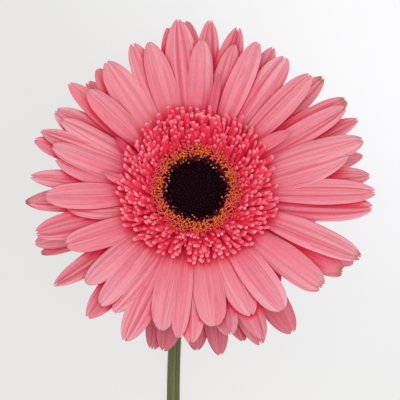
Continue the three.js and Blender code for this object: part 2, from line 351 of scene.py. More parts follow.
def piece(shape, name, material, slot, *nodes):
    made = bpy.data.objects.new(name, mesh_from(shape, name))
    bpy.context.scene.collection.objects.link(made)
    made.data.materials.append(material)
    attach(made, "root")
    if nodes:
        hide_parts(*nodes)


def joined(rings, sides, closed=False):
    """Faces from each ring to the next, and from the last to the first where they are closed."""
    faces = []
    for i in range(rings - 1 + closed):
        k = (i + 1) % rings
        for j in range(sides):
            n = (j + 1) % sides
            faces.append((i * sides + j, i * sides + n, k * sides + n, k * sides + j))
    return faces


def turned(profile, sides):
    """Rings round the bloom's axis, through a profile of radii and heights."""
    return to_world(np.array([polar(circle(sides), radius, 0.0, height) for radius, height in profile]))


def wrap(over, under):
    """A blade's rings, or their values: each runs over from edge to edge and back under."""
    return np.concatenate([over, under[:, -2:0:-1]], 1)


def blade_faces(rows, columns):
    """Faces of a blade whose rings wrap() made."""
    sides = 2 * columns - 2
    faces = [(a, d, c, b) for a, b, c, d in joined(rows, sides)]
    for base, flip in ((0, False), ((rows - 1) * sides, True)):
        for j in range(columns - 1):
            quad = [base + j, base + j + 1, base + (sides - j - 1) % sides, base + (sides - j) % sides]
            quad = list(dict.fromkeys(quad))
            faces.append(tuple(quad[::-1] if flip else quad))
    return faces


def ring(shape, inner, outer, low, high, **values):
    """The ring that florets grow from, square in section with its outer edges broken."""
    sides = 96
    profile = [
        (inner, low), (outer - 0.15, low), (outer, low + 0.15), (outer, high - 0.3),
        (outer - 0.4, high), (inner, high),
    ]
    shape.add(turned(profile, sides), joined(len(profile), sides, closed=True), **values)


# ---- Petals ----

ALONG = 1 - (1 - np.linspace(0, 1, PETAL_ROWS)) ** 1.35  # closer together towards the tip
EDGE_ANGLE = math.pi / 2 * 0.88
ACROSS = np.sin(np.linspace(-1, 1, PETAL_COLUMNS) * EDGE_ANGLE) / math.sin(EDGE_ANGLE)
PETAL_FACES = blade_faces(PETAL_ROWS, PETAL_COLUMNS)

STYLE = ["notch", "depth", "crown", "curl", "ripple", "phase", "sway", "tone", "point"]
STYLE += [f"{kind}{k}" for k in range(len(FOLDS)) for kind in ("place", "fold")]


def draw_style(own):
    """A petal's own draws, each from -1 to 1."""
    return dict(zip(STYLE, own.uniform(-1, 1, len(STYLE))))


def half_width_share(along, point):
    """Widest at two thirds of the length, narrowing to a rounded or a pointed tip."""
    rise = 0.3 + 0.7 * smooth(-0.08, 0.62, along)
    fall = np.clip((along - 0.58) / 0.42, 0, 1)
    return rise * (1 - (0.9 + 0.04 * point) * fall ** (2.6 - 0.5 * point)) ** (0.52 + 0.06 * point)


def fold_marks(u, v, style, folds):
    """How deep a petal is grooved, how dark the painted shade lines along its folds are, and how
    far its tip is notched.
    """
    grooves, shade_lines, notch = 0, 0, 0
    for k, (place, strength) in enumerate(FOLDS):
        place = place + 0.13 * style[f"place{k}"]
        own = style[f"fold{k}"] if folds < 1.5 or k >= MAIN_FOLDS else 0.6
        strength = strength * (0.65 + 0.6 * own)
        from_fold = np.abs(v - place * (1 - 0.25 * u))
        grooves = grooves + strength * np.exp(-((from_fold / (0.09 + 0.03 * own)) ** 1.4))
        shade_lines = shade_lines + strength * bell(from_fold, 0.05)
        if k < NOTCHES:
            notch = notch + strength * bell(from_fold, 0.12)
    return grooves, shade_lines, notch


def petal(shape, seat, azimuth, reach, half, slopes, roll, style, lean=0, folds=1, worn=0, root=RAY_ROOT):
    """One blade on an arc from root to tip. The tip is lifted where it would meet the surface."""
    start, end = slopes
    root_height = seat + RING_THICKNESS / 2
    flat = to_world(polar(azimuth, reach, 0.0, 0.0))
    lowest = (RAY_CLEARANCE - flat[2]) / axis.z
    end = max(end, 2 * math.atan2(lowest - root_height, reach - root) - start)
    bow = (reach - root) / (math.sin(end) - math.sin(start))

    u = ALONG[:, None]
    v = ACROSS[None, :]
    width = half * half_width_share(u, style["point"])
    grooves, shade_lines, notch = fold_marks(u, v, style, folds)
    notch = (NOTCH_DEPTH + 0.6 * style["notch"]) * folds**0.5 * notch
    u = u - (TIP_ROUND * v**2 + notch) * smooth(0.84, 1, u) / (reach - root)

    slope = start + (end - start) * u
    radius = root + bow * (np.sin(slope) - math.sin(start))
    height = root_height - bow * (np.cos(slope) - math.cos(start))
    wide = width / half
    fade = smooth(0.04, 0.35, u) * (1 - 0.6 * smooth(0.9, 1, u))
    depth = (FOLD_DEPTH + 0.14 * style["depth"]) * folds * fade
    crown = RAY_CROWN * (1 + 0.45 * style["crown"]) * wide * (0.5 - v**2)
    waves = np.sin(u * (15 + 4 * style["ripple"]) + 3 * style["phase"] + 1.3 * np.sign(v))
    edge = (EDGE_CURL * style["curl"] + EDGE_RIPPLE * waves) * np.abs(v) ** 3 * fade
    lift = crown - depth * grooves + edge
    thick = 0.5 * PETAL_THICK * np.sqrt(np.clip(1 - v**2, 0, 1)) * (0.55 + 0.45 * wide)

    tilt = roll * u
    sway = TIP_SWAY * style["sway"] * u**2
    facing = azimuth - lean * (1 - u)
    sheets = []
    for sign in (1, -1):
        out = lift + sign * thick
        side = v * width * np.cos(tilt) - out * np.sin(tilt) + sway
        rise = v * width * np.sin(tilt) + out * np.cos(tilt)
        sheets.append(polar(facing, radius - rise * np.sin(slope), side, height + rise * np.cos(slope)))
    points = to_world(wrap(*sheets))
    points[..., 2] = np.maximum(points[..., 2], PETAL_LOWEST)

    # Painted shade along the folds' grooves and lines.
    groove = np.clip((0.55 * grooves + 0.45 * shade_lines) * fade * folds, 0, 1)
    shape.add(
        points,
        PETAL_FACES,
        (PETAL_ROWS, PETAL_COLUMNS),
        along=wrap(u, u),
        across=wrap(v, v),
        groove=wrap(groove, groove),
        beneath=wrap(np.zeros_like(v), np.ones_like(v)),
        tone=0.5 + 0.5 * style["tone"],
        dusk=style["dusk"],
        worn=worn,
    )


def petals(whorl):
    """One whorl: its ring, its low petals and the high ones over them."""
    shape = Shape()
    seat = whorl["seat"]
    plain = dict.fromkeys(("along", "across", "groove", "beneath", "dusk", "worn"), 0.0)
    ring(shape, RING_INNER, whorl["ring"], seat, seat + RING_THICKNESS, tone=0.5, **plain)
    draws = seeded(whorl["seed"])
    own = np.random.default_rng(whorl["seed"])
    start, end = math.radians(whorl["start"]), math.radians(whorl["end"])
    for level, lift in (("low", -RAY_LIFT), ("high", RAY_LIFT)):
        for azimuth, reach, *rest in whorl[level]:
            lean, wide, folds, worn = rest + [0, 1, 1, 0][len(rest):]
            half = whorl["width"] / 2 * wide * (1 + RAY_WIDTH_SPREAD * (2 * next(draws) - 1))
            roll = RAY_ROLL * (2 * next(draws) - 1)
            azimuth, lean = math.radians(azimuth), math.radians(lean)
            style = draw_style(own)
            style["point"] = min(0.7 * style["point"] + 1.1 * (folds - 0.9), 1.3)
            style["tone"] += whorl["tone"]
            # Painted shade on the stem's side, where the petals droop away from the light.
            style["dusk"] = whorl["dusk"] * max(0, math.cos(azimuth - PAINTED_SHADE_AZIMUTH)) ** 4
            slopes = (start + lift, end + lift)
            petal(shape, seat, azimuth, reach, half, slopes, roll, style, lean, folds, worn)
    return shape


def stray_petals(shape):
    own = np.random.default_rng(SEEDS["stray"])
    for azimuth, reach, width, tone, lean in STRAY_PETALS:
        style = draw_style(own)
        style["tone"] = 2 * tone - 1
        style["dusk"] = 0
        azimuth, lean = math.radians(azimuth), math.radians(lean)
        petal(
            shape, TRANS_SEAT, azimuth, reach, width / 2, STRAY_SLOPES, STRAY_ROLL, style, lean,
            root=STRAY_ROOT,
        )


# ---- Short florets ----

def finger(
    shape, azimuth, foot, slopes, length, radius, tone, flat=1.0, bead=1.0, yaw=0.0, hollow=0.0,
    rows=9, sides=7,
):
    """A bent tube that leans outwards from its foot and ends in a rounded bead.

    foot is its radius, height and side shift, flat its thickness as a share of its width, bead the
    tip's width as a share of the tube's, yaw its turn away from the azimuth, and hollow how far
    its upper side is sunk and its tip cut back in the middle, as a share of its width. Returns
    the radius and the height of its middle line."""
    share = 1 - (1 - np.linspace(0, 1, rows)[:, None]) ** 1.7
    start, end = slopes
    slope = start + (end - start) * share
    step = np.diff(share, axis=0, prepend=0) * length
    along = np.cumsum(step * np.cos(slope), 0)
    up = foot[1] + np.cumsum(step * np.sin(slope), 0)
    to_tip = (1 - share) * length
    end_round = np.sqrt(np.clip(1 - (1 - to_tip / radius).clip(0, 1) ** 2, 0.03, 1))
    neck = 1 - 0.14 * bell(to_tip - 2.6 * radius, 1.3 * radius)
    swell = 1 + (bead - 1) * (1 - smooth(1.2 * radius, 2.6 * radius, to_tip))
    wide = radius * (0.6 + 0.4 * smooth(0, 0.45, share)) * neck * swell * end_round
    thin = flat + (1 - flat) * (1 - smooth(radius, 2.5 * radius, to_tip))
    turn = circle(sides)
    out = wide * (thin * np.cos(turn) - hollow * bell(np.sin(turn), 0.6) * (np.cos(turn) > -0.1))
    back = 1.1 * hollow * radius * (1 - np.abs(np.sin(turn))) * (1 - smooth(0, 2 * radius, to_tip))
    points = polar(
        azimuth,
        foot[0] + along - out * np.sin(slope) - back * np.cos(slope),
        foot[2] + wide * np.sin(turn) + along * math.tan(yaw) * (0.4 + 0.6 * share),
        up + out * np.cos(slope) - back * np.sin(slope),
    )
    # Where the upper side is sunk, for the painted shade in the hollow.
    inside = hollow * np.clip(np.cos(turn), 0, 1)
    shape.add_tube(to_world(points), (rows, 1), depth=to_tip, tone=tone, inside=inside)
    return (foot[0] + along)[:, 0], up[:, 0]


def trans_florets():
    """Short strap-like florets, leaning out in rows, some of them parted at the tip."""
    shape = Shape()
    own = np.random.default_rng(SEEDS["short"])
    top = TRANS_SEAT + RING_THICKNESS
    ring(shape, RING_INNER, TRANS_RING, TRANS_SEAT, top, depth=8.0, tone=0.2, inside=0.0)
    azimuths, reaches = np.array(TRANS_REACH).T
    for row, count in enumerate(TRANS_COUNTS):
        share = row / (len(TRANS_COUNTS) - 1)
        root, slope, part = (a + (b - a) * share for a, b in zip(TRANS_OUTER, TRANS_INNER))
        foot = (root, TRANS_SEAT + RING_THICKNESS / 2, 0)
        for azimuth in around(count, own, 0.3, row):
            lean = math.radians(slope + own.uniform(-5, 5))
            bend = math.radians(own.uniform(3, 20)) * own.choice((1, 1, 1, -0.5))
            radius = TRANS_RADIUS * own.uniform(0.8, 1.15) * (1 - 0.3 * share)
            reach = np.interp(math.degrees(azimuth), azimuths, reaches, period=360) - TRANS_OUTER[0]
            reach = reach * part / math.cos(math.radians(slope)) * (1 + own.uniform(-0.12, 0.06))
            tone = own.uniform(0.0, 1.0) - 0.9 * share
            yaw = TRANS_LEAN * math.cos(azimuth) + own.uniform(-0.22, 0.22)
            reach = reach * (1 - 0.35 * yaw**2)
            slopes = (lean + bend, lean - bend)
            if own.uniform() < TRANS_LOBED:
                lobed_floret(shape, own, azimuth, foot, slopes, reach, radius, tone, yaw)
                continue
            flat, bead = own.uniform(0.45, 0.75), own.uniform(0.9, 1.1)
            hollow = own.uniform(0.1, 0.75)
            finger(shape, azimuth, foot, slopes, reach, radius, tone, flat, bead, yaw, hollow, sides=12)
    return shape


def lobed_floret(shape, own, azimuth, foot, slopes, reach, radius, tone, yaw):
    """A broader strap that parts into two rounded lobes."""
    wide = radius * 1.3
    stop = reach * own.uniform(0.74, 0.84)
    radii, heights = finger(shape, azimuth, foot, slopes, stop, wide, tone, 0.5, 1, yaw)
    for side in (-1, 1):
        shift = side * wide * 0.45 + (radii[-2] - foot[0]) * math.tan(yaw)
        at = (radii[-2], heights[-2], shift)
        over = own.uniform(0.85, 1.1) * (reach - stop) + 0.6
        splay = (slopes[1], slopes[1] - own.uniform(-0.5, 0.3))
        aside = yaw + side * 0.2
        finger(shape, azimuth, at, splay, over, wide * 0.58, tone, 0.9, 1.1, aside, rows=6, sides=6)


def open_florets():
    """Opened disc florets: each a short throat with lobes that curl back, some with anthers."""
    shape, anthers = Shape(), Shape()
    own = np.random.default_rng(SEEDS["open"])
    inner, outer, thick = OPEN_RING
    ring(shape, inner, outer, OPEN_SEAT, OPEN_SEAT + thick, depth=8.0, tone=0.2, inside=0.0)
    base = OPEN_SEAT + thick / 2
    for row, (root, slope, length, count, with_anthers) in enumerate(OPEN_ROWS):
        for azimuth in around(count, own, 0.28, row):
            lean = math.radians(slope + own.uniform(-5, 5))
            slopes = (lean, lean)
            reach = length * (1 + own.uniform(-0.14, 0.06))
            tone = 0.42 * row / (len(OPEN_ROWS) - 1) + own.uniform(0, 0.58)
            foot = (root, base, 0)
            finger(shape, azimuth, foot, slopes, reach * THROAT, THROAT_RADIUS, tone, rows=5, sides=6)
            out = reach * MOUTH
            mouth = (root + out * math.cos(lean), base + out * math.sin(lean), 0)
            lobes(shape, azimuth, mouth, lean, own, tone)
            if own.uniform() < with_anthers:
                long = reach * ANTHERS
                finger(
                    anthers, azimuth, mouth, slopes, long, ANTHER_RADIUS, tone, bead=1.3, rows=6, sides=5
                )
    return shape, anthers


def lobes(shape, azimuth, mouth, lean, own, tone):
    """Narrow lobes round a floret's mouth that rise and curl back outwards."""
    section = np.array([(-1, 0), (0, 0.5), (1, 0), (0, -0.5)])
    side = LOBE_HALVES[:, None] * section[:, 0]
    thick = LOBE_THICK * section[:, 1]
    depth = np.linspace(1.2, 0, len(side))[:, None]
    first = own.uniform(0, 2 * math.pi)
    for place in around(own.integers(3, 6), own, 0.15):
        turn = first + place
        curl = np.linspace(0.1, own.uniform(1.9, 3.1), len(side))[:, None]
        step = own.uniform(0.26, 0.44)
        out = 0.3 + step * (np.cumsum(np.sin(curl), 0) - np.sin(curl[0])) + thick * np.cos(curl)
        rise = step * (np.cumsum(np.cos(curl), 0) - np.cos(curl[0])) - thick * np.sin(curl)
        x = out * math.cos(turn) - side * math.sin(turn)
        y = out * math.sin(turn) + side * math.cos(turn)
        radius = mouth[0] + rise * math.cos(lean) - x * math.sin(lean)
        height = mouth[1] + rise * math.sin(lean) + x * math.cos(lean)
        shape.add_tube(to_world(polar(azimuth, radius, y, height)), depth=depth, tone=tone, inside=0.0)


def closed_buds():
    """The dome of closed buds, set on the spiral in which they grow."""
    shape = Shape()
    own = np.random.default_rng(SEEDS["closed"])
    profile = [(DOME_RADIUS, BUD_SEAT - 0.2)]
    for share in np.linspace(1, 0.001, 9):
        profile.append((DOME_RADIUS * share, BUD_SEAT + (DOME_HEIGHT - 1) * (1 - share**2)))
    shape.add_tube(turned(profile, 32), depth=4.0, tone=0.3, inside=0.0)
    golden = math.pi * (3 - math.sqrt(5))
    for i in range(CLOSED_BUDS):
        share = min(math.sqrt((i + 0.5) / CLOSED_BUDS) + own.uniform(-0.02, 0.02), 1)
        azimuth = i * golden + own.uniform(-0.03, 0.03) / share
        lean = math.pi / 2 - 0.6 * share + own.uniform(-0.2, 0.2)
        foot = ((DOME_RADIUS - 0.15) * share, BUD_SEAT + (DOME_HEIGHT - 1.4) * (1 - share**2), 0)
        length = (1.0 + 0.5 * share) * own.uniform(0.8, 1.2)
        radius = (0.44 + 0.12 * share) * own.uniform(0.85, 1.1)
        tone = own.uniform(0, 1)
        finger(shape, azimuth, foot, (lean, lean), length, radius, tone, rows=6, sides=6)
    return shape


def opening_buds():
    """Florets about to open, scattered round the rim of the dark buds."""
    shape = Shape()
    own = np.random.default_rng(SEEDS["opening"])
    for azimuth in around(OPENING_BUDS, own, 0.45):
        root = own.uniform(*OPENING_RADII)
        foot = (root, BUD_SEAT + 0.3, 0)
        lean = math.radians(own.uniform(55, 88))
        radius = own.uniform(0.22, 0.38)
        length = own.uniform(1.3, 2.2) + 0.6 * (root > COLUMN_RADIUS)
        tone = own.uniform(0, 1)
        finger(shape, azimuth, foot, (lean, lean), length, radius, tone, rows=6, sides=6)
    return shape


def cover_rays():
    """Directions round the bloom's axis, in cones that open upwards."""
    up = Vector(axis)
    right = up.cross(Vector((0, 1, 0))).normalized()
    far = up.cross(right)
    rays = []
    for degrees, count in COVER_RAYS:
        for k in range(count):
            turn = 2 * math.pi * (k + degrees / 50) / count
            flat = right * math.cos(turn) + far * math.sin(turn)
            rays.append(up * math.cos(math.radians(degrees)) + flat * math.sin(math.radians(degrees)))
    return rays


def mark_painted_shade(shapes):
    """Gives each upper side a painted shade value from 0, where it is open to the light, to 1,
    where others shut it in from close by. Each shape comes with how close that is."""
    points, faces, count = [], [], 0
    for shape, _ in shapes:
        points += [Vector(p) for p in np.concatenate(shape.points)]
        faces += [[i + count for i in face] for face in shape.faces]
        count += shape.count
    tree = BVHTree.FromPolygons(points, faces)
    rays = cover_rays()
    above = Vector(axis) * COVER_START
    for shape, reach in shapes:
        covers = []
        for body, grid in zip(shape.points, shape.grids):
            if grid is None:
                covers.append(np.zeros(len(body)))
                continue
            rows, columns = grid
            upper = body.reshape(rows, -1, 3)[:, :columns]
            shut = np.zeros(grid)
            for i in range(0, rows, 2):
                for j in range(columns):
                    start = Vector(upper[i, j]) + above
                    hits = [tree.ray_cast(start, ray, reach)[3] for ray in rays]
                    near = [1 - 0.6 * hit / reach for hit in hits if hit is not None and hit > CONTACT]
                    shut[i, j] = sum(near) / len(rays)
            shut[1:-1:2] = (shut[0:-2:2] + shut[2::2]) / 2
            shut[-1] = shut[-2]
            whole = wrap(shut, shut) if columns > 1 else np.repeat(shut, len(body) // rows, 1)
            covers.append(whole.reshape(-1))
        # Painted shade values, read by the petal and short floret materials.
        shape.values["painted_shade"] = covers


# ---- Cup, bracts and stem ----

def cup_point(angle, out=0.0):
    return CUP_FOOT + (CUP_RIM - CUP_FOOT + out) * np.sin(angle), -(CUP_DEPTH + out) * np.cos(angle)


def cup():
    shape = Shape()
    profile = [cup_point(angle, -CUP_SUNK) for angle in np.linspace(0, math.pi / 2, 16)]
    profile += [(COLUMN_RADIUS, 0.0), (COLUMN_RADIUS, COLUMN_TOP)]
    along = np.linspace(0, 1, len(profile))[:, None]
    shape.add_tube(turned(profile, CUP_SIDES), along=along, tone=0.5)
    return shape


def bracts():
    """Narrow pointed bracts that lie on the cup in rows, each over the gap between two below."""
    shape = Shape()
    own = np.random.default_rng(SEEDS["bracts"])
    rows, columns = 12, 7
    faces = blade_faces(rows, columns)
    u = np.linspace(0, 1, rows)[:, None]
    v = np.linspace(-1, 1, columns)[None, :]
    edge = wrap(np.abs(v), np.abs(v))
    keel = BRACT_KEEL * bell(v, 0.22) * (1 - u)
    proud = BRACT_PROUD * (0.15 + 0.85 * u**1.5) * (1 - 0.55 * v**2)
    thick = BRACT_THICK / 2 * np.sqrt(np.clip(1 - v**2, 0, 1))
    for row, (foot, tip, half, count) in enumerate(BRACT_ROWS):
        width = half * (0.55 + 0.45 * smooth(0, 0.4, u)) * np.sqrt(np.clip(1 - u**2.6, 0.012, 1))
        for azimuth in around(count, own, 0.08, row):
            top = min(tip + own.uniform(-5, 3), BRACT_TOP)
            angle = np.radians(foot + (top - foot) * u)
            sheets = []
            for sign in (1, -1):
                radius, height = cup_point(angle, proud + keel + sign * thick)
                sheets.append(polar(azimuth + v * width / np.maximum(radius, 3), radius, 0.0, height))
            shape.add(to_world(wrap(*sheets)), faces, along=u, across=edge, tone=own.uniform(0, 1))
    return shape


def stem_path():
    """Centres, directions and radii from the cup to the cut."""
    path = []
    for angle in np.linspace(NECK_TURN, 0, NECK_RINGS):
        direction = -(heading * math.cos(angle) + UP * math.sin(angle))
        path.append((neck_point(angle), direction, STEM_NECK_RADIUS))
    at = np.zeros(3)
    for i in range(LYING_STEPS + 1):
        along = STEM_LYING * i / LYING_STEPS
        turn = NECK_HEADING - BOW_TURN * (1 - math.exp(-along / BOW_OVER))
        direction = np.array([math.sin(turn), math.cos(turn), 0])
        if i:
            at = at - direction * STEM_LYING / LYING_STEPS
        radius = STEM_NECK_RADIUS + (STEM_CUT_RADIUS - STEM_NECK_RADIUS) * along / STEM_LYING
        path.append(((at[0], at[1], lying_height(radius)), -direction, radius))
    return [np.array(column) for column in zip(*path)]


def across_stem(directions):
    """The level and the upright direction square to each of the stem's."""
    side = unit(np.cross(UP, directions))
    return side, np.cross(directions, side)


def stem_rings():
    """Rings round the stem's path, ribbed, with the last one on the slanting cut."""
    centres, directions, radii = stem_path()
    side, high = across_stem(directions)
    turn = circle(STEM_ROUND)
    ribs = sum(height * (np.cos(count * turn + first) - 1) for height, count, first in RIBS)
    flare = NECK_FLARE * np.exp(-np.arange(len(radii)) / 1.6)
    radius = (lying_height(radii) + flare)[:, None] + ribs
    points = centres[:, None] + side[:, None] * (radius * np.cos(turn))[..., None]
    points += high[:, None] * (radius * np.sin(turn))[..., None]
    cut = (radius[-1] * np.sin(turn) * math.tan(CUT_SLANT))[:, None]
    points[-1] -= directions[-1] * cut
    return points


def stem():
    points = stem_rings()
    points[..., 2] = np.maximum(points[..., 2], 0.0)
    shape = Shape()
    along = np.linspace(0, 1, len(points))[:, None]
    shape.add_tube(points, along=along, round=np.arange(STEM_ROUND) / STEM_ROUND, tone=0.5)
    return shape


def hair(shape, base, direction, length):
    """A thin three-sided spike."""
    side = unit(np.cross(direction, [0.31, 0.52, 0.79]))
    other = np.cross(direction, side)
    points = [base + HAIR_RADIUS * (math.cos(turn) * side + math.sin(turn) * other) for turn in circle(3)]
    points.append(base + direction * length)
    shape.add(points, [(0, 1, 3), (1, 2, 3), (2, 0, 3), (2, 1, 0)], along=0.5, tone=0.5)


def stem_hairs():
    """Short down on the stem, thickest at the neck, and none that would go into the surface."""
    shape = Shape()
    own = np.random.default_rng(SEEDS["stem_down"])
    centres, directions, radii = stem_path()
    sides, highs = across_stem(directions)
    for _ in range(STEM_HAIRS):
        share = own.uniform() ** 1.5
        i = int(share * (len(centres) - 2))
        part = own.uniform()
        centre = centres[i] * (1 - part) + centres[i + 1] * part
        turn = own.uniform(0, 2 * math.pi)
        out = sides[i] * math.cos(turn) + highs[i] * math.sin(turn)
        base = centre + out * (lying_height(radii[i]) - HAIR_SUNK)
        lean = unit(out + directions[i] * own.uniform(-0.5, 0.2) + own.normal(0, 0.15, 3))
        length = own.uniform(0.45, 0.85)
        if base[2] >= HAIR_FOOT_LOWEST and base[2] + lean[2] * length >= HAIR_TIP_LOWEST:
            hair(shape, base, lean, length)
    return shape


def cup_hairs():
    shape = Shape()
    own = np.random.default_rng(SEEDS["cup_down"])
    for _ in range(CUP_HAIRS):
        angle = math.acos(own.uniform(0.02, 0.99))
        turn = own.uniform(0, 2 * math.pi)
        radius, height = cup_point(angle, 0.35)
        base = polar(turn, radius, 0.0, height)
        out = polar(turn, math.sin(angle), 0.0, -math.cos(angle))
        lean = head_turn @ unit(out + own.normal(0, 0.3, 3))
        hair(shape, to_world(base), lean, own.uniform(0.4, 0.8))
    return shape


def pith():
    """The pale ring of the cut, proud of the skin's end by a hair's breadth."""
    last = stem_rings()[-1]
    centre = last.mean(0)
    normal = unit(np.cross(last[0] - centre, last[STEM_ROUND // 4] - centre))
    rings = np.array([centre + (last - centre) * share + normal * proud for share, proud in PITH_PROFILE])
    rings[..., 2] = np.maximum(rings[..., 2], PITH_LOWEST)
    shape = Shape()
    shape.add_tube(rings, along=np.array(PITH_PROFILE)[:, :1], tone=0.5)
    return shape


# ---- Materials ----

class Shader:
    """A Principled material with short ways to add its nodes."""

    def __init__(self, name, roughness, specular, sheen=0.0, sheen_roughness=0.5):
        self.material = bpy.data.materials.new(name)
        self.material.use_nodes = True
        self.tree = self.material.node_tree
        self.surface = self.tree.nodes["Principled BSDF"]
        self.put(roughness, self.surface.inputs["Roughness"])
        self.put(specular, self.surface.inputs["Specular IOR Level"])
        self.put(sheen, self.surface.inputs["Sheen Weight"])
        self.put(sheen_roughness, self.surface.inputs["Sheen Roughness"])

    def put(self, value, socket):
        if isinstance(value, bpy.types.NodeSocket):
            self.tree.links.new(value, socket)
        elif isinstance(value, tuple) and len(value) == 3:
            socket.default_value = (*value, 1)
        else:
            socket.default_value = value

    def node(self, kind, inputs=(), **settings):
        """Adds a node. Its inputs are given in their order, or as a dictionary by name."""
        made = self.tree.nodes.new(f"ShaderNode{kind}")
        for key, value in settings.items():
            setattr(made, key, value)
        named = inputs if isinstance(inputs, dict) else dict(enumerate(inputs))
        for key, value in named.items():
            self.put(value, made.inputs[key])
        return made

    def attribute(self, name):
        return self.node("Attribute", attribute_name=name).outputs["Fac"]

    def place(self):
        return self.node("TexCoord").outputs["Object"]

    def math(self, operation, *values):
        return self.node("Math", values, operation=operation).outputs[0]

    def times(self, first, second):
        return self.math("MULTIPLY", first, second)

    def span(self, value, low, high, to_low=0.0, to_high=1.0):
        values = (value, low, high, to_low, to_high)
        return self.node("MapRange", values, interpolation_type="SMOOTHSTEP").outputs[0]

    def noise(self, place, scale, detail=3.0, roughness=0.55):
        inputs = {"Vector": place, "Scale": scale, "Detail": detail, "Roughness": roughness}
        return self.node("TexNoise", inputs).outputs["Fac"]

    def ramp(self, value, *stops):
        node = self.node("ValToRGB", [value])
        elements = node.color_ramp.elements
        while len(elements) < len(stops):
            elements.new(0.5)
        for element, (position, color) in zip(elements, stops):
            element.position = position
            element.color = (*color, 1)
        return node.outputs[0]

    def down_from_tip(self, depth, middle, *colors):
        """Three colours from a floret's tip down to a depth, the second one part of the way."""
        share = self.span(self.attribute("depth"), 0.0, depth)
        return self.ramp(share, *zip((0.0, middle, 1.0), colors))

    def mix(self, share, first, second):
        node = self.node("Mix", {0: share, 6: first, 7: second}, data_type="RGBA")
        return node.outputs[2]

    def over(self, base, *layers):
        """Lays colours over a base. A layer is its colour and share, its colour, a value and what
        that is multiplied by, or its colour, a value, and that value's low, high and most."""
        for color, value, *spread in layers:
            if len(spread) == 3:
                low, high, most = spread
                value = self.span(value, low, high, 0.0, most)
            elif spread:
                value = self.times(value, spread[0])
            base = self.mix(value, base, color)
        return base

    def bump(self, height, distance):
        node = self.node("Bump", {"Height": height, "Distance": distance})
        self.put(node.outputs[0], self.surface.inputs["Normal"])

    def color(self, value):
        self.put(value, self.surface.inputs["Base Color"])
        return self.material

    def grained(self, body, scale, color, low, high, most=1.0, relief=0.0):
        """The finished material: body with a fine grain of another colour, raised by relief."""
        grain = self.noise(self.place(), scale, 2.0)
        if relief:
            self.bump(grain, relief)
        return self.color(self.over(body, (color, grain, low, high, most)))


def petal_material():
    """Deep at the root and pale at the tip, with veins and patches drawn out, and painted shade:
    darker bands and crease lines across the folds, darker grooves, a duller stem's side and
    deep crimson where other pieces shut a petal in. The crease lines also sink the relief.
    """
    look = Shader("petal", 0.6, 0.05, sheen=0.03)
    along, across = look.attribute("along"), look.attribute("across")
    tone, groove = look.attribute("tone"), look.attribute("groove")
    petal_seed = look.times(tone, 37.0)

    def lengthwise(wide, long, detail, roughness=0.6):
        inputs = (look.times(across, wide), look.times(along, long), petal_seed)
        return look.noise(look.node("CombineXYZ", inputs).outputs[0], 1.0, detail, roughness)

    veins = lengthwise(13.0, 1.6, 5.0)
    # Broad bands of painted shade across the petal's folds.
    fold_shade_bands = lengthwise(3.2, 0.7, 1.0, 0.4)
    patches = lengthwise(1.4, 3.0, 3.0)
    grain = look.noise(look.place(), 1000.0, 3.0, 0.65)
    # Thin painted shade lines along the middles of those bands, which also sink the relief.
    from_crease = look.math("ABSOLUTE", look.math("SUBTRACT", fold_shade_bands, 0.5))
    crease_and_shade_line = look.span(from_crease, 0.0, 0.035, 1.0, 0.0)
    warmth = look.math("FRACT", look.times(tone, 7.3))
    brown = look.times(
        look.span(look.math("ADD", along, look.times(patches, 0.06)), 0.96, 1.03),
        look.span(look.attribute("worn"), 0.2, 1.0),
    )

    skin = look.ramp(
        along, (0.0, (0.8, 0.01, 0.05)), (0.18, (0.8, 0.08, 0.137)), (0.4, (0.8, 0.212, 0.279)),
        (0.8, (0.8, 0.336, 0.392)), (1.0, (0.8, 0.415, 0.475)),
    )
    skin = look.over(
        skin,
        # Painted shade: the darker fold bands.
        ((0.77, 0.1, 0.17), fold_shade_bands, 0.4, 0.62, 0.4),
        ((0.8, 0.09, 0.16), veins, 0.4, 0.68, 0.2),
        ((0.86, 0.4, 0.47), patches, 0.45, 0.75, 0.25),
        ((0.78, 0.1, 0.16), grain, 0.5, 0.72, 0.22),
        ((0.84, 0.4, 0.46), grain, 0.48, 0.28, 0.2),
        # Painted shade: the dark crease lines.
        ((0.68, 0.04, 0.1), crease_and_shade_line, 0.35),
        # Painted shade in the folds' grooves.
        ((0.6, 0.015, 0.06), groove, 0.72),
        ((0.92, 0.36, 0.43), look.math("ABSOLUTE", across), 0.9, 1.0, 0.25),
        ((0.83, 0.32, 0.34), warmth, 0.35),
        ((0.72, 0.04, 0.1), tone, 0.0, 3.0, 0.9),
        # Painted shade that dulls the petals on the stem's side.
        ((0.46, 0.11, 0.15), look.attribute("dusk")),
        # Painted shade where other pieces shut a petal in.
        ((0.79, 0.012, 0.06), look.attribute("painted_shade"), 0.05, 0.48, 0.88),
        ((0.78, 0.24, 0.3), look.attribute("beneath"), 0.7),
        ((0.42, 0.15, 0.09), brown),
    )
    relief = look.math("SUBTRACT", veins, look.times(crease_and_shade_line, 0.8))
    look.bump(look.math("ADD", relief, look.noise(look.place(), 2600.0, 2.0)), 0.00012)
    return look.color(skin)


